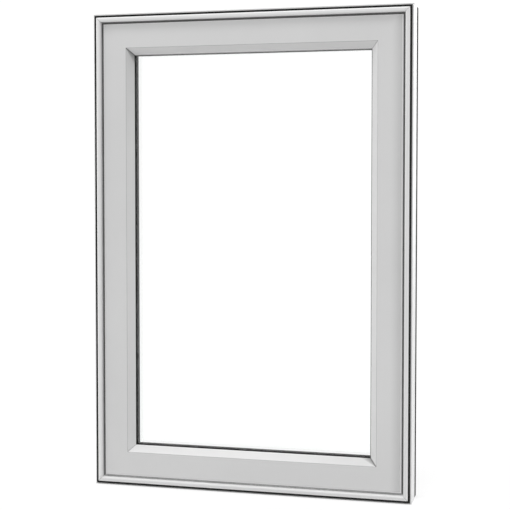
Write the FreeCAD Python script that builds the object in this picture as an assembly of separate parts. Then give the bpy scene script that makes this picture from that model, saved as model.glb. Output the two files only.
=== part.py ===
import FreeCAD, Part
import os
from math import sqrt

# Fixed picture window in white vinyl: a hollow outer frame, a fixed sash in it, snap-in
# glazing beads and a sealed double-glazed unit. Millimetres, +Z up, the front faces -Y.
# The origin is at the middle of the sill's underside.
# Every section is drawn as (inward, back): inward from the frame's outer side towards the
# glass, and back from the front of the rim. The four bars of a ring share one section and
# meet at 45 degree mitres.

# Overall size
window_width = 609.6
window_height = 901.7
frame_depth = 74.0

# Outer frame section
lip_width = 2.5
lip_set_back = 5.0
kerf_width = 3.6
kerf_depth = 9.0
rim_width = 8.5
rim_outer_round = 2.5
rim_inner_round = 3.6
frame_wall = 2.2
frame_web = 1.6
stop_leg_width = 23.0
stop_leg_depth = 11.6
frame_back_round = 1.2

# Gap between the frame and the sash
shadow_gap = 3.8
sash_set_back = 5.8
rear_seal_gap = 2.3

# Sash section
sash_face_width = 46.0
sash_round = 3.2
sash_wall = 2.2
sash_web = 1.6
front_chamber_depth = 8.0
rear_chamber_depth = 10.2
outer_chamber_width = 11.2
chamber_round = 0.8
nib_width = 3.4
nib_thickness = 2.2
catch_rib_height = 1.4
catch_rib_depth = 2.1
rear_leg_edge = 1.8
rear_leg_round = 0.6
rear_bevel_start = 1.5

# Glazing bead section
bead_bevel_width = 13.2
bead_bevel_depth = 15.4
bead_wall = 1.7
bead_nose_round = 1.0
bead_foot_depth = 2.4
bead_clearance = 0.3

# Sealed unit and the gaskets that hold it
pane_thickness = 3.0
pane_bite = 13.0
spacer_depth = 13.2
spacer_width = 11.6
spacer_wall = 1.0
spacer_seal_width = 4.4
front_gasket_thickness = 3.0
front_gasket_width = 8.6
rear_gasket_thickness = 1.6
rear_gasket_width = 8.0
rear_leg_set_in = 1.4
gasket_round = 0.6

# Seals between frame and sash, and in the outer kerf
perimeter_seal_set_back = 0.6
perimeter_seal_round = 0.9
weather_seal_start = 9.6
weather_seal_depth = 4.0
weather_seal_hollow = 0.5
rear_seal_width = 12.0

# Sealing tape in a shallow recess round the frame's outer side, near its back
tape_width = 20.0
tape_thickness = 1.5
tape_back_edge = 1.4

# Blocks that carry the glass in the sash and the sash in the frame
setting_block_length = 100.0
packer_length = 80.0
packer_clearance = 3.0
packer_back_clearance = 7.6

# Screw holes through the jambs
screw_radius = 2.5
screw_end_distance = 150.0

# Drain slots through the sash's bottom rail and the sill
slot_length = 25.0
slot_width = 5.0
rail_slot_inset = 40.0
sill_slot_inset = 90.0

# Levels worked out from the sizes above, inward from the outer side
rim_start = lip_width + kerf_width
rim_end = rim_start + rim_width
stop_leg_end = rim_end + stop_leg_width
sash_start = rim_end + shadow_gap
face_end = sash_start + sash_face_width
rebate_floor = face_end - nib_width
sight_line = face_end + bead_bevel_width
glass_edge = sight_line - pane_bite
rear_leg_end = sight_line - rear_leg_set_in

# Levels worked out from the sizes above, back from the front of the rim
bead_back = sash_set_back + bead_bevel_depth
front_pane_front = bead_back + front_gasket_thickness
spacer_front = front_pane_front + pane_thickness
rear_pane_front = spacer_front + spacer_depth
unit_back = rear_pane_front + pane_thickness
rear_leg_front = unit_back + rear_gasket_thickness
stop_leg_front = frame_depth - stop_leg_depth
sash_back = stop_leg_front - rear_seal_gap
weather_seal_end = weather_seal_start + weather_seal_depth
tape_end = frame_depth - tape_back_edge
tape_start = tape_end - tape_width

sides = ["sill", "head", "left_jamb", "right_jamb"]


def unit_vector(start, end):
    run = sqrt((end[0] - start[0]) ** 2 + (end[1] - start[1]) ** 2)
    return ((end[0] - start[0]) / run, (end[1] - start[1]) / run)


def section_point(inward, back):
    """A point of a section, set upright in the plane across a lower bar."""
    return FreeCAD.Vector(0, back - frame_depth / 2, inward)


def outline(corners):
    """A closed wire through (inward, back, round) corners, each rounded by its own radius."""
    edges = []
    ends = []
    for index, (inward, back, radius) in enumerate(corners):
        before = corners[index - 1]
        after = corners[(index + 1) % len(corners)]
        to_before = unit_vector((inward, back), before)
        to_after = unit_vector((inward, back), after)
        if radius == 0:
            corner = section_point(inward, back)
            ends.append((corner, corner))
            continue
        cosine = to_before[0] * to_after[0] + to_before[1] * to_after[1]
        half_sine = sqrt((1 - cosine) / 2)
        half_cosine = sqrt((1 + cosine) / 2)
        tangent = radius * half_cosine / half_sine
        start = (inward + to_before[0] * tangent, back + to_before[1] * tangent)
        end = (inward + to_after[0] * tangent, back + to_after[1] * tangent)
        middle_way = (to_before[0] + to_after[0], to_before[1] + to_after[1])
        way_length = sqrt(middle_way[0] ** 2 + middle_way[1] ** 2)
        reach = radius / half_sine - radius
        middle = (
            inward + middle_way[0] / way_length * reach,
            back + middle_way[1] / way_length * reach,
        )
        arc = Part.Arc(section_point(*start), section_point(*middle), section_point(*end))
        ends.append((section_point(*start), section_point(*end)))
        edges.append((index, arc.toShape()))
    rounds = dict(edges)
    path = []
    for index, (start, end) in enumerate(ends):
        if index in rounds:
            path.append(rounds[index])
        next_start = ends[(index + 1) % len(ends)][0]
        path.append(Part.LineSegment(end, next_start).toShape())
    return Part.Wire(path)


def chamber(inward_start, back_start, inward_end, back_end, corner_round=0):
    """A hollow of a section: a rectangle, with rounded corners where a radius is given."""
    return outline([
        (inward_start, back_start, corner_round),
        (inward_end, back_start, corner_round),
        (inward_end, back_end, corner_round),
        (inward_start, back_end, corner_round),
    ])


def bar_length(side):
    if side in ("sill", "head"):
        return window_width
    return window_height


def set_in_place(shape, side):
    """Turn a bar drawn as the sill to its own side of the window."""
    turn = {"sill": 0, "head": 180, "left_jamb": 90, "right_jamb": -90}[side]
    corner = {
        "sill": FreeCAD.Vector(0, 0, 0),
        "head": FreeCAD.Vector(0, 0, window_height),
        "left_jamb": FreeCAD.Vector(-window_width / 2, 0, window_height / 2),
        "right_jamb": FreeCAD.Vector(window_width / 2, 0, window_height / 2),
    }[side]
    shape.rotate(FreeCAD.Vector(0, 0, 0), FreeCAD.Vector(0, 1, 0), turn)
    shape.translate(corner)
    return shape


def mitred_bar(outer, hollows, side):
    """Extrude a section along one side and cut both its ends at 45 degrees."""
    length = bar_length(side)
    section = Part.Face(outer)
    for hollow in hollows:
        section = section.cut(Part.Face(hollow))
    bar = section.extrude(FreeCAD.Vector(length, 0, 0))
    bar.translate(FreeCAD.Vector(-length / 2, 0, 0))
    reach = min(window_width, window_height) / 2 - 1
    corners = [
        FreeCAD.Vector(-length / 2, -frame_depth, 0),
        FreeCAD.Vector(length / 2, -frame_depth, 0),
        FreeCAD.Vector(length / 2 - reach, -frame_depth, reach),
        FreeCAD.Vector(-length / 2 + reach, -frame_depth, reach),
    ]
    wedge = Part.Face(Part.makePolygon(corners + corners[:1]))
    wedge = wedge.extrude(FreeCAD.Vector(0, 2 * frame_depth, 0))
    return set_in_place(bar.common(wedge).Solids[0], side)


def frame_bar(side):
    """Outer frame: lip, kerf, rim, hollow body, tape recess and the stop leg behind the sash."""
    outer = outline([
        (0, lip_set_back, 0),
        (lip_width, lip_set_back, 0),
        (lip_width, kerf_depth, 0),
        (rim_start, kerf_depth, 0),
        (rim_start, 0, rim_outer_round),
        (rim_end, 0, rim_inner_round),
        (rim_end, stop_leg_front, 0),
        (stop_leg_end, stop_leg_front, frame_back_round),
        (stop_leg_end, frame_depth, frame_back_round),
        (0, frame_depth, frame_back_round),
        (0, tape_end, 0),
        (tape_thickness, tape_end, 0),
        (tape_thickness, tape_start, 0),
        (0, tape_start, 0),
    ])
    inner_side = rim_end - frame_wall
    taped_wall = tape_thickness + frame_wall
    rim_floor = kerf_depth + frame_wall
    middle = (rim_floor + frame_web + stop_leg_front) / 2
    hollows = [
        chamber(rim_start + frame_wall, frame_wall, inner_side, rim_floor),
        chamber(frame_wall, rim_floor + frame_web, inner_side, middle - frame_web / 2),
        chamber(taped_wall, middle + frame_web / 2, inner_side, stop_leg_front - frame_web),
        chamber(taped_wall, stop_leg_front, inner_side, frame_depth - frame_wall),
        chamber(
            inner_side + frame_web,
            stop_leg_front + frame_wall,
            stop_leg_end - frame_wall,
            frame_depth - frame_wall,
        ),
    ]
    return mitred_bar(outer, hollows, side)


def screw_line_back():
    """How far behind the rim's front the jamb screws pass, in the middle of a chamber."""
    chamber_front = kerf_depth + frame_wall + frame_web
    middle = (chamber_front + stop_leg_front) / 2
    return (chamber_front + middle - frame_web / 2) / 2


def drill_screw_holes(jamb):
    """Holes straight through a jamb, one near each end."""
    for height in (screw_end_distance, window_height - screw_end_distance):
        drill = Part.makeCylinder(
            screw_radius,
            window_width,
            FreeCAD.Vector(-window_width / 2, screw_line_back() - frame_depth / 2, height),
            FreeCAD.Vector(1, 0, 0),
        )
        jamb = jamb.cut(drill).Solids[0]
    return jamb


def drain_slot(centre_x, centre_back, top):
    """A cutter for a slot with round ends, which runs down from this height."""
    half_width = slot_width / 2
    straight = slot_length / 2 - half_width
    left = centre_x - straight
    right = centre_x + straight
    middle = centre_back - frame_depth / 2
    front = middle - half_width
    back = middle + half_width
    right_end = Part.Arc(
        FreeCAD.Vector(right, front, 0),
        FreeCAD.Vector(right + half_width, middle, 0),
        FreeCAD.Vector(right, back, 0),
    )
    left_end = Part.Arc(
        FreeCAD.Vector(left, back, 0),
        FreeCAD.Vector(left - half_width, middle, 0),
        FreeCAD.Vector(left, front, 0),
    )
    path = [
        Part.makeLine(FreeCAD.Vector(left, front, 0), FreeCAD.Vector(right, front, 0)),
        right_end.toShape(),
        Part.makeLine(FreeCAD.Vector(right, back, 0), FreeCAD.Vector(left, back, 0)),
        left_end.toShape(),
    ]
    return Part.Face(Part.Wire(path)).extrude(FreeCAD.Vector(0, 0, top))


def cut_drain_slots(bar, distance, centre_back, top):
    """One slot near each end of a lower bar, this far from the window's middle."""
    for centre_x in (-distance, distance):
        bar = bar.cut(drain_slot(centre_x, centre_back, top)).Solids[0]
    return bar


def rear_leg_hollow():
    """The three-cornered chamber behind the glass, one wall inside the sloping back."""
    slope_start = (rear_leg_end, rear_leg_front + rear_leg_edge)
    slope_end = (rebate_floor + rear_bevel_start, sash_back)
    along = unit_vector(slope_start, slope_end)
    inset_start = (slope_start[0] - along[1] * sash_wall, slope_start[1] + along[0] * sash_wall)
    front = rear_leg_front + sash_wall
    side = rebate_floor + sash_web / 2
    run_to_front = (front - inset_start[1]) / along[1]
    run_to_side = (side - inset_start[0]) / along[0]
    return outline([
        (side, front, chamber_round),
        (inset_start[0] + along[0] * run_to_front, front, chamber_round),
        (side, inset_start[1] + along[1] * run_to_side, chamber_round),
    ])


def sash_bar(side):
    """Sash: a flat face with a nib, a glazing rebate with a catch rib, and a rear leg."""
    rib_back = bead_back - bead_foot_depth - bead_clearance
    outer = outline([
        (sash_start, sash_set_back, sash_round),
        (face_end, sash_set_back, 0),
        (face_end, sash_set_back + nib_thickness, 0),
        (rebate_floor, sash_set_back + nib_thickness, 0),
        (rebate_floor, rib_back - catch_rib_depth, 0),
        (rebate_floor + catch_rib_height, rib_back, 0),
        (rebate_floor, rib_back, 0),
        (rebate_floor, rear_leg_front, 0),
        (rear_leg_end, rear_leg_front, 0),
        (rear_leg_end, rear_leg_front + rear_leg_edge, rear_leg_round),
        (rebate_floor + rear_bevel_start, sash_back, rear_leg_round),
        (sash_start, sash_back, frame_back_round),
    ])
    left = sash_start + sash_wall
    right = rebate_floor - sash_wall
    front = sash_set_back + sash_wall
    back = sash_back - sash_wall
    outer_right = left + outer_chamber_width
    inner_left = outer_right + sash_web
    front_end = front + front_chamber_depth
    rear_start = back - rear_chamber_depth
    rows = [
        (front, front_end),
        (front_end + sash_web, rear_start - sash_web),
        (rear_start, back),
    ]
    hollows = [rear_leg_hollow()]
    for row_front, row_back in rows:
        hollows.append(chamber(left, row_front, outer_right, row_back, chamber_round))
        hollows.append(chamber(inner_left, row_front, right, row_back, chamber_round))
    return mitred_bar(outer, hollows, side)


def glazing_bead(side):
    """Snap-in bead: a bevelled hollow body and the foot that hooks behind the catch rib."""
    foot_end = rebate_floor + bead_clearance
    foot_front = bead_back - bead_foot_depth
    outer = outline([
        (face_end, sash_set_back, 0),
        (sight_line, bead_back, bead_nose_round),
        (foot_end, bead_back, 0),
        (foot_end, foot_front, 0),
        (face_end, foot_front, 0),
    ])
    along = unit_vector((face_end, sash_set_back), (sight_line, bead_back))
    left = face_end + bead_wall
    floor = bead_back - bead_wall
    inset = (face_end - along[1] * bead_wall, sash_set_back + along[0] * bead_wall)
    run_to_left = (left - inset[0]) / along[0]
    run_to_floor = (floor - inset[1]) / along[1]
    hollow = outline([
        (left, inset[1] + along[1] * run_to_left, chamber_round / 2),
        (inset[0] + along[0] * run_to_floor, floor, chamber_round / 2),
        (left, floor, chamber_round / 2),
    ])
    return mitred_bar(outer, [hollow], side)


def perimeter_seal(side):
    """Black seal pressed into the frame's outer kerf, its front just behind the rim's."""
    outer = outline([
        (lip_width, perimeter_seal_set_back, perimeter_seal_round),
        (rim_start, perimeter_seal_set_back + rim_outer_round, 0),
        (rim_start, kerf_depth, 0),
        (lip_width, kerf_depth, 0),
    ])
    return mitred_bar(outer, [], side)


def weather_seal(side):
    """Seal in the shadow gap between frame and sash, hollowed a little at its front."""
    outer = outline([
        (rim_end, weather_seal_start, 0),
        (rim_end + shadow_gap / 2, weather_seal_start + weather_seal_hollow, 0),
        (sash_start, weather_seal_start, 0),
        (sash_start, weather_seal_end, 0),
        (rim_end, weather_seal_end, 0),
    ])
    return mitred_bar(outer, [], side)


def rear_seal(side):
    """Flat seal between the back of the sash and the stop leg."""
    middle = (sash_start + stop_leg_end) / 2
    start = middle - rear_seal_width / 2
    end = middle + rear_seal_width / 2
    outer = outline([
        (start, sash_back, 0),
        (end, sash_back, 0),
        (end, stop_leg_front, 0),
        (start, stop_leg_front, 0),
    ])
    return mitred_bar(outer, [], side)


def frame_tape(side):
    """Sealing tape that fills the recess, flush with the frame's outer side."""
    outer = outline([
        (0, tape_start, 0),
        (tape_thickness, tape_start, 0),
        (tape_thickness, tape_end, 0),
        (0, tape_end, 0),
    ])
    return mitred_bar(outer, [], side)


def front_gasket(side):
    """Black gasket between the bead and the front pane, flush with the bead's edge."""
    outer = outline([
        (sight_line - front_gasket_width, bead_back, 0),
        (sight_line, bead_back, 0),
        (sight_line, front_pane_front, gasket_round),
        (sight_line - front_gasket_width, front_pane_front, 0),
    ])
    return mitred_bar(outer, [], side)


def rear_gasket(side):
    """Gasket between the rear pane and the sash's rear leg."""
    outer = outline([
        (rear_leg_end - rear_gasket_width, unit_back, 0),
        (rear_leg_end, unit_back, 0),
        (rear_leg_end, rear_leg_front, 0),
        (rear_leg_end - rear_gasket_width, rear_leg_front, 0),
    ])
    return mitred_bar(outer, [], side)


def glass_spacer(side):
    """Black spacer with the edge seal behind it, hollow where its drying beads lie."""
    outer = outline([
        (sight_line - spacer_width, spacer_front, 0),
        (sight_line, spacer_front, 0),
        (sight_line, rear_pane_front, 0),
        (sight_line - spacer_width, rear_pane_front, 0),
    ])
    hollow = chamber(
        sight_line - spacer_width + spacer_seal_width,
        spacer_front + spacer_wall,
        sight_line - spacer_wall,
        rear_pane_front - spacer_wall,
    )
    return mitred_bar(outer, [hollow], side)


def glass_pane(front):
    """One pane of the sealed unit, standing this far behind the front of the rim."""
    return Part.makeBox(
        window_width - 2 * glass_edge,
        pane_thickness,
        window_height - 2 * glass_edge,
        FreeCAD.Vector(glass_edge - window_width / 2, front - frame_depth / 2, glass_edge),
    )


def block(centre_x, length, start_back, depth, bottom, top):
    """A flat plastic block lying on one of the lower bars."""
    return Part.makeBox(
        length,
        depth,
        top - bottom,
        FreeCAD.Vector(centre_x - length / 2, start_back - frame_depth / 2, bottom),
    )


def setting_block(hand):
    """Carries the sealed unit on the sash's lower rebate, a quarter in from its end."""
    quarter = (window_width - 2 * glass_edge) / 4
    depth = unit_back - front_pane_front
    return block(
        hand * quarter, setting_block_length, front_pane_front, depth, rebate_floor, glass_edge
    )


def sash_packer(hand):
    """Carries the sash on the sill, below the setting block and between the two seals."""
    quarter = (window_width - 2 * glass_edge) / 4
    start = weather_seal_end + packer_clearance
    depth = sash_back - packer_back_clearance - start
    return block(hand * quarter, packer_length, start, depth, rim_end, sash_start)


def ring(make_bar, names, ring_sides=sides):
    """The bars of a ring, under their own names."""
    return {names[side]: make_bar(side) for side in ring_sides}


def side_names(pattern, lower="bottom", upper="top", left="left", right="right"):
    return {
        "sill": pattern.format(lower),
        "head": pattern.format(upper),
        "left_jamb": pattern.format(left),
        "right_jamb": pattern.format(right),
    }


def build_window():
    frame_names = side_names("frame_{}", "sill", "head", "left_jamb", "right_jamb")
    sash_names = side_names("sash_{}", "bottom_rail", "top_rail", "left_stile", "right_stile")
    pieces = {}
    pieces.update(ring(frame_bar, frame_names))
    for side in ("left_jamb", "right_jamb"):
        pieces[frame_names[side]] = drill_screw_holes(pieces[frame_names[side]])
    pieces["frame_sill"] = cut_drain_slots(
        pieces["frame_sill"], window_width / 2 - sill_slot_inset, screw_line_back(), rim_end
    )
    pieces.update(ring(sash_bar, sash_names))
    pieces["sash_bottom_rail"] = cut_drain_slots(
        pieces["sash_bottom_rail"],
        window_width / 2 - sight_line - rail_slot_inset,
        (front_pane_front + unit_back) / 2,
        rebate_floor,
    )
    pieces.update(ring(glazing_bead, side_names("glazing_bead_{}")))
    pieces.update(ring(perimeter_seal, side_names("perimeter_seal_{}")))
    pieces.update(ring(weather_seal, side_names("weather_seal_{}")))
    pieces.update(ring(rear_seal, side_names("rear_seal_{}")))
    pieces.update(ring(frame_tape, side_names("frame_tape_{}"), sides[1:]))
    pieces.update(ring(front_gasket, side_names("front_gasket_{}")))
    pieces.update(ring(rear_gasket, side_names("rear_gasket_{}")))
    pieces.update(ring(glass_spacer, side_names("glass_spacer_{}")))
    pieces["glass_front_pane"] = glass_pane(front_pane_front)
    pieces["glass_rear_pane"] = glass_pane(rear_pane_front)
    for name, hand in (("left", -1), ("right", 1)):
        pieces["setting_block_" + name] = setting_block(hand)
        pieces["sash_packer_" + name] = sash_packer(hand)
    return pieces


os.makedirs("parts", exist_ok=True)
for node, shape in build_window().items():
    shape.exportStep("parts/" + node + ".step")
    print(node, "valid" if shape.isValid() else "NOT VALID", round(shape.Volume))
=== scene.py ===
import math

import bmesh
import bpy
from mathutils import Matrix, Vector


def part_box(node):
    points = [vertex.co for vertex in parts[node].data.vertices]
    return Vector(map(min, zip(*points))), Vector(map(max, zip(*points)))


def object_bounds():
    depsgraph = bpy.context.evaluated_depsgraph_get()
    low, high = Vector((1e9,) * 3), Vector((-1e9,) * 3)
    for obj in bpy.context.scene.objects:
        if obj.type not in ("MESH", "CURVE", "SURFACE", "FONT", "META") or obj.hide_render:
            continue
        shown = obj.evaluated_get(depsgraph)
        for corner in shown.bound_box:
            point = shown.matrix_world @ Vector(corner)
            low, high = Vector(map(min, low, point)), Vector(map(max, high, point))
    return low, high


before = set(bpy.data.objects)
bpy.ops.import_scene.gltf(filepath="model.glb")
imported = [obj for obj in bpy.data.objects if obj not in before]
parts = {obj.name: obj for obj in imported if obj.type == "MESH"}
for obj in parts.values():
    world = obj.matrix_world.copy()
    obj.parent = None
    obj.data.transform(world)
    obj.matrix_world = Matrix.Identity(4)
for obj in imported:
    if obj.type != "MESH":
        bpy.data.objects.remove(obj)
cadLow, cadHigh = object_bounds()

# Fixed picture window in white vinyl. Every part comes with the frame and gets its finish here.
# Metres, +Z up, the front of the window faces -Y.
halfWidth = (cadHigh.x - cadLow.x) / 2
halfHeight = (cadHigh.z - cadLow.z) / 2
scene = bpy.context.scene
print("frame loaded,", len(parts), "parts")


# Node helpers, for groups, materials and the world

nodeSpacing = 190  # from one node to the next in the node editor
mixColour = {"first": 6, "second": 7, "result": 2}  # where the Mix node keeps its colour sockets
noiseLow, noiseHigh = 0.3, 0.7  # nearly all values of a noise lie between these


class Graph:
    # a node tree with short ways to add nodes and link them
    def __init__(self, tree):
        self.tree = tree
        self.column = 0

    def add(self, kind, **properties):
        # a node with its properties set, placed to the right of the last one
        node = self.tree.nodes.new(kind)
        node.location = (self.column * nodeSpacing, 0)
        self.column += 1
        for name, value in properties.items():
            setattr(node, name, value)
        return node

    def feed(self, socket, value):
        # a link from another socket, or a plain value on this one
        if isinstance(value, bpy.types.NodeSocket):
            self.tree.links.new(value, socket)
        else:
            socket.default_value = value

    def calc(self, operation, *values):
        node = self.add("ShaderNodeMath", operation=operation)
        for socket, value in zip(node.inputs, values):
            self.feed(socket, value)
        return node.outputs[0]

    def span(self, value, low, high, toLow=0.0, toHigh=1.0, soft=True):
        # value from low to high becomes toLow to toHigh, and stops at both ends
        style = "SMOOTHSTEP" if soft else "LINEAR"
        node = self.add("ShaderNodeMapRange", interpolation_type=style)
        for name, number in (("Value", value), ("From Min", low), ("From Max", high),
                             ("To Min", toLow), ("To Max", toHigh)):
            self.feed(node.inputs[name], number)
        return node.outputs["Result"]

    def blend(self, share, first, second):
        # two colours mixed by share
        node = self.add("ShaderNodeMix", data_type="RGBA")
        self.feed(node.inputs["Factor"], share)
        self.feed(node.inputs[mixColour["first"]], first)
        self.feed(node.inputs[mixColour["second"]], second)
        return node.outputs[mixColour["result"]]

    def surfacePlace(self):
        return self.add("ShaderNodeTexCoord").outputs["Object"]

    def noise(self, place, scale, detail):
        node = self.add("ShaderNodeTexNoise")
        for name, value in (("Vector", place), ("Scale", scale), ("Detail", detail)):
            self.feed(node.inputs[name], value)
        return node.outputs["Fac"]

    def use(self, group, **values):
        # the outputs of one of the effect groups below, with its own values
        node = self.add("ShaderNodeGroup", label=group.name, node_tree=group)
        for name, value in values.items():
            self.feed(node.inputs[name], value)
        return node.outputs


def newGroup(name, inputs, outputs):
    tree = bpy.data.node_groups.new(name, "ShaderNodeTree")
    for label, kind, value in inputs:
        socket = tree.interface.new_socket(name=label, in_out="INPUT", socket_type="NodeSocket" + kind)
        socket.default_value = value
    for label, kind in outputs:
        tree.interface.new_socket(name=label, in_out="OUTPUT", socket_type="NodeSocket" + kind)
    graph = Graph(tree)
    return graph, graph.add("NodeGroupInput").outputs, graph.add("NodeGroupOutput").inputs


def grey(level):
    return (level, level, level, 1.0)


# Effects that several finishes share

def ringPlaceGroup():
    # where a point lies on the four bars: inward from the window's outer side, back from its front,
    # its distance from the mitre and from three of the sides, and the mitres that gape or lie in shade
    places = ("Inward", "Back", "From Mitre", "From Right", "From Top", "From Bottom",
              "Open Corner", "Shaded End")
    graph, given, result = newGroup(
        "ringPlace",
        [("Half Width", "Float", 0.3), ("Half Height", "Float", 0.45), ("Front", "Float", 0.0)],
        [(label, "Float") for label in places])
    axes = graph.add("ShaderNodeSeparateXYZ")
    graph.feed(axes.inputs[0], graph.surfacePlace())
    across, back, height = axes.outputs
    level = graph.calc("SUBTRACT", height, given["Half Height"])
    fromSide = graph.calc("SUBTRACT", given["Half Width"], graph.calc("ABSOLUTE", across))
    fromEnd = graph.calc("SUBTRACT", given["Half Height"], graph.calc("ABSOLUTE", level))
    graph.feed(result["Inward"], graph.calc("MINIMUM", fromSide, fromEnd))
    graph.feed(result["Back"], graph.calc("SUBTRACT", back, given["Front"]))

    # the mitres run at 45 degrees, where both distances are equal
    apart = graph.calc("SUBTRACT", fromSide, fromEnd)
    squareTo = graph.calc("MULTIPLY", graph.calc("ABSOLUTE", apart), math.sqrt(0.5))
    graph.feed(result["From Mitre"], squareTo)
    graph.feed(result["From Right"], graph.calc("SUBTRACT", given["Half Width"], across))
    graph.feed(result["From Top"], graph.calc("SUBTRACT", given["Half Height"], level))
    graph.feed(result["From Bottom"], height)

    # the upper left and lower right mitres gape a little, and shade lies on their left and lower bars
    openCorner = graph.calc("LESS_THAN", graph.calc("MULTIPLY", across, level), 0.0)
    onLevelBar = graph.calc("GREATER_THAN", apart, 0.0)
    onUprightBar = graph.calc("SUBTRACT", 1.0, onLevelBar)
    onHead = graph.calc("MULTIPLY", onLevelBar, graph.calc("GREATER_THAN", level, 0.0))
    onRight = graph.calc("MULTIPLY", onUprightBar, graph.calc("GREATER_THAN", across, 0.0))
    elsewhere = graph.calc("SUBTRACT", 1.0, graph.calc("MAXIMUM", onHead, onRight))
    graph.feed(result["Open Corner"], openCorner)
    graph.feed(result["Shaded End"], graph.calc("MULTIPLY", openCorner, elsewhere))
    return graph.tree


def dieLinesGroup():
    # faint streaks that the die leaves along a bar
    graph, given, result = newGroup(
        "dieLines",
        [("Stretch", "Vector", (1.0, 1.0, 1.0)), ("Streak Scale", "Float", 900.0)],
        [("Streaks", "Float")])
    drawn = graph.add("ShaderNodeVectorMath", operation="MULTIPLY")
    graph.feed(drawn.inputs[0], graph.surfacePlace())
    graph.feed(drawn.inputs[1], given["Stretch"])
    streaks = graph.noise(drawn.outputs[0], given["Streak Scale"], detail=3.0)
    graph.feed(result["Streaks"], streaks)
    return graph.tree


def mottleGroup():
    # cloudy unevenness of a moulded skin with a fine speckle in it
    graph, given, result = newGroup(
        "mottle",
        [("Cloud Scale", "Float", 6.0), ("Speckle Scale", "Float", 700.0)],
        [("Clouds", "Float"), ("Speckle", "Float")])
    place = graph.surfacePlace()
    clouds = graph.noise(place, given["Cloud Scale"], detail=4.0)
    speckle = graph.noise(place, given["Speckle Scale"], detail=1.0)
    graph.feed(result["Clouds"], graph.span(clouds, noiseLow, noiseHigh))
    graph.feed(result["Speckle"], graph.span(speckle, noiseLow, noiseHigh))
    return graph.tree


# How shut in a surface is where its dust and painted shade are thickest, and how thin they get between
# patches
shadeAndDustSettling = {"shutIn": 0.35, "open": 1.0, "patchStart": 0.25, "patchEnd": 0.75, "thin": 0.7}


def recessShadeAndDustGroup():
    # dust with painted shade: darker where a surface is shut in, broken up into patches
    graph, given, result = newGroup(
        "recessShadeAndDust",
        [("Reach", "Float", 0.01), ("Patch Scale", "Float", 40.0)],
        [("Dust", "Float")])
    shut = graph.add("ShaderNodeAmbientOcclusion", samples=6)
    graph.feed(shut.inputs["Distance"], given["Reach"])
    hidden = graph.span(shut.outputs["AO"], shadeAndDustSettling["shutIn"], shadeAndDustSettling["open"], 1.0, 0.0)
    clumps = graph.noise(graph.surfacePlace(), given["Patch Scale"], detail=2.0)
    patches = graph.span(
        clumps, shadeAndDustSettling["patchStart"], shadeAndDustSettling["patchEnd"], shadeAndDustSettling["thin"], 1.0)
    graph.feed(result["Dust"], graph.calc("MULTIPLY", hidden, patches))
    return graph.tree


def softEdgeGroup():
    # normals rounded over a sharp edge, as a drawn or trimmed edge is
    graph, given, result = newGroup("softEdge", [("Radius", "Float", 0.0004)], [("Normal", "Vector")])
    rounded = graph.add("ShaderNodeBevel", samples=4)
    graph.feed(rounded.inputs["Radius"], given["Radius"])
    graph.feed(result["Normal"], rounded.outputs["Normal"])
    return graph.tree


ringPlace = ringPlaceGroup()
dieLines = dieLinesGroup()
mottle = mottleGroup()
recessShadeAndDust = recessShadeAndDustGroup()
softEdge = softEdgeGroup()
print("effect groups built")


# Finishes

def newMaterial(name, **plain):
    # a Principled surface, with the values that are the same all over set on its sockets
    material = bpy.data.materials.new(name)
    material.use_nodes = True
    material.node_tree.nodes.clear()
    graph = Graph(material.node_tree)
    skin = graph.add("ShaderNodeBsdfPrincipled")
    output = graph.add("ShaderNodeOutputMaterial", name="surface")
    graph.feed(output.inputs["Surface"], skin.outputs["BSDF"])
    for label, value in plain.items():
        skin.inputs[label.replace("_", " ")].default_value = value
    return material, graph, skin


vinylLook = {
    "roughness": 0.42, "streakRoughness": 0.10, "ior": 1.46, "streakDepth": 0.00002, "streakLength": 100.0,
    "seamDepth": 0.0002, "edgeRadius": 0.0003,
}
# A little dust and painted shade in the recesses of all bars, and the hairline where bead and sash meet
barShadeAndDust = {"tone": 0.5, "reach": 0.008, "amount": 0.15}
beadHairline = {"tone": 0.15, "amount": 0.65, "inward": 0.0644, "width": 0.0005}
# The starts, ends and places below are distances inward from the window's outer side
# The frame, sash and bead are one white vinyl, and their tones differ as painted light: paler on the frame,
# darker on the sash
barLook = {
    "frame": {
        "tone": 0.84, "shade": 0.81, "frontDepth": 0.005,
        "paintedHighlight": {"tone": 0.98, "start": 0.0058, "end": 0.0084, "fade": 0.0006},
        "outside": {"tone": 0.90, "start": 0.0012, "end": 0.0024},
        "paintedShade": {"Right": 0.09, "Top": 0.0, "Bottom": 0.10, "start": 0.0150, "end": 0.0160},
        "seam": {"tone": 0.45, "width": 0.0005, "openWidth": 0.0},
    },
    "sash": {
        "tone": 0.705, "shade": 0.68, "frontDepth": 0.022,
        "paintedHighlight": {"tone": 0.90, "start": 0.0180, "end": 0.0208, "fade": 0.0008},
        "paintedShade": {"Right": 0.20, "Top": 0.08, "Bottom": 0.0, "start": 0.0195, "end": 0.042},
        "hairline": beadHairline,
    },
    "bead": {
        "tone": 0.75, "shade": 0.725, "frontDepth": 0.022,
        "paintedHighlight": {"tone": 0.95, "start": 0.0757, "end": 0.0780, "fade": 0.0006},
        "hairline": beadHairline,
        "seam": {"tone": 0.20, "width": 0.0004, "openWidth": 0.0012},
        "wedge": {
            "tone": 0.12, "amount": 0.75, "start": 0.0644, "end": 0.0776,
            "startWidth": 0.0005, "endWidth": 0.022, "tail": 0.14, "reach": 0.15,
        },
    },
}


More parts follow.
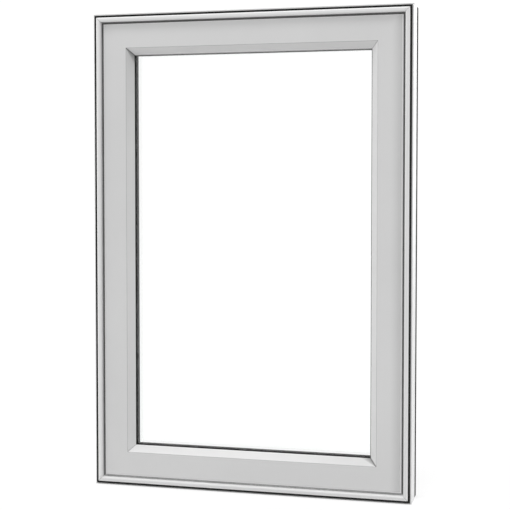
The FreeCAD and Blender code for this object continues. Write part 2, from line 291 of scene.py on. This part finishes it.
def vinylMaterial(name, look, upright):
    # extruded vinyl: clouds, painted shade beside the rim, painted highlights along rounded edges,
    # painted light on the outer sides of the uprights, dust with painted shade in recesses, a mitre seam
    # with painted shade beside it, and streaks along the bar in gloss and relief
    material, graph, skin = newMaterial(name, IOR=vinylLook["ior"])
    along = 1.0 / vinylLook["streakLength"]
    streaks = graph.use(dieLines, Stretch=(1.0, 1.0, along) if upright else (along, 1.0, 1.0))["Streaks"]
    spot = graph.use(ringPlace, **{"Half Width": halfWidth, "Half Height": halfHeight, "Front": cadLow.y})
    inFront = graph.calc("LESS_THAN", spot["Back"], look["frontDepth"])
    tone = graph.blend(graph.use(mottle)["Clouds"], grey(look["tone"]), grey(look["shade"]))

    # painted shade: the front darkens in bands beside the rim at the right, the top and the bottom
    if "paintedShade" in look:
        paintedShade = look["paintedShade"]
        sides = [graph.span(spot["From " + side], paintedShade["start"], paintedShade["end"], paintedShade[side], 0.0)
                 for side in ("Right", "Top", "Bottom")]
        darkestPaintedShade = graph.calc("MAXIMUM", graph.calc("MAXIMUM", sides[0], sides[1]), sides[2])
        tone = graph.blend(graph.calc("MULTIPLY", darkestPaintedShade, inFront), tone, grey(0.0))
    # painted highlight: a paler band along a rounded edge on the front
    paintedHighlight = look["paintedHighlight"]
    rising = graph.span(spot["Inward"], paintedHighlight["start"], paintedHighlight["start"] + paintedHighlight["fade"])
    falling = graph.span(spot["Inward"], paintedHighlight["end"] - paintedHighlight["fade"], paintedHighlight["end"], 1.0, 0.0)
    highlightShare = graph.calc("MULTIPLY", graph.calc("MINIMUM", rising, falling), inFront)
    tone = graph.blend(highlightShare, tone, grey(paintedHighlight["tone"]))
    # painted light: the outer sides of the upright frame bars are paler
    if "outside" in look and upright:
        outside = look["outside"]
        paintedSideLight = graph.span(spot["Inward"], outside["start"], outside["end"], 1.0, 0.0)
        tone = graph.blend(paintedSideLight, tone, grey(outside["tone"]))

    # dust with painted shade: darker where the surface is shut in
    settledShadeAndDust = graph.calc("MULTIPLY", graph.use(recessShadeAndDust, Reach=barShadeAndDust["reach"])["Dust"], barShadeAndDust["amount"])
    tone = graph.blend(settledShadeAndDust, tone, grey(barShadeAndDust["tone"]))
    relief = graph.calc("MULTIPLY", streaks, vinylLook["streakDepth"])
    if "seam" in look:
        seam = look["seam"]
        width = graph.calc("MULTIPLY_ADD", spot["Open Corner"], seam["openWidth"], seam["width"])
        joint = graph.span(spot["From Mitre"], 0.0, width, 1.0, 0.0)
        tone = graph.blend(joint, tone, grey(seam["tone"]))
        relief = graph.calc("MULTIPLY_ADD", joint, -vinylLook["seamDepth"], relief)
    # painted shade: a dark wedge and a faint tail beside the upper left and lower right mitres
    if "wedge" in look:
        wedge = look["wedge"]
        width = graph.span(
            spot["Inward"], wedge["start"], wedge["end"], wedge["startWidth"], wedge["endWidth"], soft=False)
        deep = graph.span(spot["From Mitre"], 0.0, width, wedge["amount"], 0.0)
        faint = graph.span(spot["From Mitre"], 0.0, wedge["reach"], wedge["tail"], 0.0)
        shaded = graph.calc("MULTIPLY", graph.calc("MAXIMUM", deep, faint), spot["Shaded End"])
        tone = graph.blend(shaded, tone, grey(wedge["tone"]))
    if "hairline" in look:
        line = look["hairline"]
        apart = graph.calc("ABSOLUTE", graph.calc("SUBTRACT", spot["Inward"], line["inward"]))
        grime = graph.span(apart, 0.0, line["width"], line["amount"], 0.0)
        tone = graph.blend(graph.calc("MULTIPLY", grime, inFront), tone, grey(line["tone"]))
    graph.feed(skin.inputs["Base Color"], tone)

    smoothest = vinylLook["roughness"] - vinylLook["streakRoughness"] / 2
    roughest = vinylLook["roughness"] + vinylLook["streakRoughness"] / 2
    graph.feed(skin.inputs["Roughness"], graph.span(streaks, noiseLow, noiseHigh, smoothest, roughest))
    bump = graph.add("ShaderNodeBump")
    bump.inputs["Distance"].default_value = 1.0
    graph.feed(bump.inputs["Height"], relief)
    graph.feed(bump.inputs["Normal"], graph.use(softEdge, Radius=vinylLook["edgeRadius"])["Normal"])
    graph.feed(skin.inputs["Normal"], bump.outputs["Normal"])
    return material


rubberLook = {
    "perimeterRubber": {
        "tone": 0.008, "fleck": 0.02, "roughness": 0.6, "sheen": 0.2, "grain": 500.0, "depth": 0.00004},
    "weatherRubber": {
        "tone": 0.12, "fleck": 0.18, "roughness": 0.75, "sheen": 0.3, "grain": 900.0, "depth": 0.00006},
    # painted light: a pale copy of the dark rubber, for the weather seal at the bottom and the gasket at the
    # top of the glass
    "paleRubberPaintedLight": {
        "tone": 0.42, "fleck": 0.55, "roughness": 0.9, "sheen": 0.1, "grain": 500.0, "depth": 0.00008},
    "tapeFoam": {
        "tone": 0.02, "fleck": 0.05, "roughness": 0.95, "sheen": 0.05, "grain": 1200.0, "depth": 0.0002},
    "gasketRubber": {
        "tone": 0.008, "fleck": 0.015, "roughness": 0.6, "sheen": 0.2, "grain": 600.0, "depth": 0.00003},
    "spacerSkin": {
        "tone": 0.01, "fleck": 0.016, "roughness": 0.7, "sheen": 0.2, "grain": 900.0, "depth": 0.00003},
    "blockPlastic": {
        "tone": 0.20, "fleck": 0.26, "roughness": 0.5, "sheen": 0.5, "grain": 300.0, "depth": 0.00002},
}
mouldedSkin = {"ior": 1.5, "cloudScale": 20.0, "unevenness": 0.05}  # the same for all of them


def rubberMaterial(name, tone, fleck, roughness, sheen, grain, depth):
    # rubber, foam and moulded plastic: a fine grain and cloudy unevenness
    material, graph, skin = newMaterial(name, IOR=mouldedSkin["ior"], Specular_IOR_Level=sheen)
    mask = graph.use(mottle, **{"Cloud Scale": mouldedSkin["cloudScale"], "Speckle Scale": grain})
    mixed = graph.calc("MULTIPLY", mask["Clouds"], mask["Speckle"])
    graph.feed(skin.inputs["Base Color"], graph.blend(mixed, grey(tone), grey(fleck)))
    smoothest = roughness - mouldedSkin["unevenness"]
    roughest = roughness + mouldedSkin["unevenness"]
    graph.feed(skin.inputs["Roughness"], graph.span(mask["Clouds"], 0.0, 1.0, smoothest, roughest))
    bump = graph.add("ShaderNodeBump")
    bump.inputs["Distance"].default_value = depth
    graph.feed(bump.inputs["Height"], mask["Speckle"])
    graph.feed(skin.inputs["Normal"], bump.outputs["Normal"])
    return material


glassLook = {"tint": (0.985, 0.995, 0.99, 1.0), "clear": 0.96, "ior": 1.52, "cloudScale": 1.5}


def glassMaterial():
    # float glass with a trace of tint in slow clouds, clear to lamps and to soft light from behind it
    material, graph, skin = newMaterial(
        "clearPane", IOR=glassLook["ior"], Roughness=0.0, Transmission_Weight=1.0)
    clouds = graph.use(mottle, **{"Cloud Scale": glassLook["cloudScale"]})["Clouds"]
    graph.feed(skin.inputs["Base Color"], graph.blend(clouds, glassLook["tint"], grey(1.0)))
    clear = graph.add("ShaderNodeBsdfTransparent")
    clear.inputs["Color"].default_value = grey(glassLook["clear"])
    rays = graph.add("ShaderNodeLightPath").outputs
    passing = graph.calc("MAXIMUM", rays["Is Shadow Ray"], rays["Is Diffuse Ray"])
    either = graph.add("ShaderNodeMixShader")
    graph.feed(either.inputs[0], passing)
    graph.feed(either.inputs[1], skin.outputs["BSDF"])
    graph.feed(either.inputs[2], clear.outputs["BSDF"])
    graph.feed(graph.tree.nodes["surface"].inputs["Surface"], either.outputs["Shader"])
    return material


finishes = {name: rubberMaterial(name, **look) for name, look in rubberLook.items()}
for piece, look in barLook.items():
    for run, upright in (("Level", False), ("Upright", True)):
        name = piece + "Vinyl" + run
        finishes[name] = vinylMaterial(name, look, upright)
finishes["clearPane"] = glassMaterial()
print("finishes built:", ", ".join(sorted(finishes)))

# Which finish each kind of part takes, by the start of its name: the first that fits counts.
# A bar of vinyl also goes by the way it runs.
finishOfKind = {
    "frame_tape": "tapeFoam",
    "frame": "frameVinyl",
    "sash_packer": "blockPlastic",
    "sash": "sashVinyl",
    "glazing_bead": "beadVinyl",
    "perimeter_seal": "perimeterRubber",
    # the weather seal at the bottom and the gasket at the top take the pale rubber of painted light
    "weather_seal_bottom": "paleRubberPaintedLight",
    "weather_seal": "weatherRubber",
    "rear_seal": "weatherRubber",
    "front_gasket_top": "paleRubberPaintedLight",
    "front_gasket": "gasketRubber",
    "rear_gasket": "gasketRubber",
    "glass_spacer": "spacerSkin",
    "glass_front_pane": "clearPane",
    "glass_rear_pane": "clearPane",
    "setting_block": "blockPlastic",
}


def finishOf(partName):
    kind = next(start for start in finishOfKind if partName.startswith(start))
    name = finishOfKind[kind]
    if not name.endswith("Vinyl"):
        return finishes[name]
    low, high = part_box(partName)
    upright = high.z - low.z > high.x - low.x
    return finishes[name + ("Upright" if upright else "Level")]


for partName, part in parts.items():
    part.data.materials.clear()
    part.data.materials.append(finishOf(partName))
print("finishes given to all parts")


# Stage: a plain pale floor that the window stands on

floorLook = {"radius": 7.0, "sides": 96, "tone": 0.63, "whiteShare": 0.55, "whiteLevel": 1.31}


def seesBackground(graph):
    # 1 for the rays that show the background: camera, mirror and glass rays
    rays = graph.add("ShaderNodeLightPath").outputs
    shown = graph.calc("MAXIMUM", rays["Is Camera Ray"], rays["Is Glossy Ray"])
    return graph.calc("MAXIMUM", shown, rays["Is Transmission Ray"])


def floorMaterial():
    # pale and dull, with some plain white added for the rays that show the background
    material = bpy.data.materials.new("paleFloor")
    material.use_nodes = True
    material.node_tree.nodes.clear()
    graph = Graph(material.node_tree)
    plain = graph.add("ShaderNodeBsdfDiffuse")
    plain.inputs["Color"].default_value = grey(floorLook["tone"])
    white = graph.add("ShaderNodeEmission")
    white.inputs["Strength"].default_value = floorLook["whiteLevel"]
    either = graph.add("ShaderNodeMixShader")
    graph.feed(either.inputs[0], graph.calc("MULTIPLY", seesBackground(graph), floorLook["whiteShare"]))
    graph.feed(either.inputs[1], plain.outputs["BSDF"])
    graph.feed(either.inputs[2], white.outputs["Emission"])
    output = graph.add("ShaderNodeOutputMaterial")
    graph.feed(output.inputs["Surface"], either.outputs["Shader"])
    return material


def addFloor():
    mesh = bpy.data.meshes.new("floor")
    disc = bmesh.new()
    bmesh.ops.create_circle(disc, cap_ends=True, radius=floorLook["radius"], segments=floorLook["sides"])
    disc.to_mesh(mesh)
    disc.free()
    floor = bpy.data.objects.new("floor", mesh)
    scene.collection.objects.link(floor)
    mesh.materials.append(floorMaterial())


# Light: an even white room, a soft lamp high in front, a broad one on the left and one behind on the right

worldLook = {"roomLight": 0.66, "white": 1.03}


def setWorld():
    world = bpy.data.worlds.new("whiteRoom")
    scene.world = world
    world.use_nodes = True
    world.node_tree.nodes.clear()
    graph = Graph(world.node_tree)
    either = graph.add("ShaderNodeMixShader")
    graph.feed(either.inputs[0], seesBackground(graph))
    for socket, strength in ((1, worldLook["roomLight"]), (2, worldLook["white"])):
        shade = graph.add("ShaderNodeBackground")
        shade.inputs["Color"].default_value = grey(1.0)
        shade.inputs["Strength"].default_value = strength
        graph.feed(either.inputs[socket], shade.outputs[0])
    output = graph.add("ShaderNodeOutputWorld")
    graph.feed(output.inputs["Surface"], either.outputs["Shader"])


lamps = {
    "keyLamp": {"towards": (0.0, -0.28, 0.96), "level": 0.40, "spread": 16},
    "leftLamp": {"towards": (-0.96, -0.28, 0.05), "level": 0.32, "spread": 40},
    "rearRightLamp": {"towards": (0.642, 0.765, 0.05), "level": 0.45, "spread": 70},
}
lampDistance = 3.0  # only for show: a sun lamp lights the same from any distance


def addLamp(name, towards, level, spread):
    # level is the light on a surface square to it, as a share of a white room's; spread is in degrees
    light = bpy.data.lights.new(name, "SUN")
    light.energy = level * math.pi
    light.angle = math.radians(spread)
    lamp = bpy.data.objects.new(name, light)
    lamp.rotation_mode = "QUATERNION"
    lamp.rotation_quaternion = Vector(towards).to_track_quat("Z", "Y")
    lamp.location = Vector(towards) * lampDistance
    scene.collection.objects.link(lamp)


addFloor()
setWorld()
for name, lamp in lamps.items():
    addLamp(name, **lamp)
print("floor, room and lamps in place")

# Camera, worked out from the straight edges of the photograph: its frame is 510 pixels square,
# and its line of sight meets the picture above the middle
cameraView = {
    "place": (0.5569, -2.15334, 0.58571), "turn": 14.388, "down": 2.317,
    "focalPixels": 1182.0, "framePixels": 510, "sightRow": 228.5, "sensor": 36.0,
}


def addCamera():
    lens = bpy.data.cameras.new("camera")
    lens.sensor_width = cameraView["sensor"]
    lens.lens = cameraView["focalPixels"] / cameraView["framePixels"] * cameraView["sensor"]
    lens.shift_y = cameraView["sightRow"] / cameraView["framePixels"] - 0.5
    camera = bpy.data.objects.new("camera", lens)
    camera.location = cameraView["place"]
    camera.rotation_euler = (
        math.radians(90 - cameraView["down"]), 0.0, math.radians(cameraView["turn"]))
    scene.collection.objects.link(camera)
    scene.camera = camera


addCamera()
scene.view_settings.view_transform = "Standard"
print("camera in place")
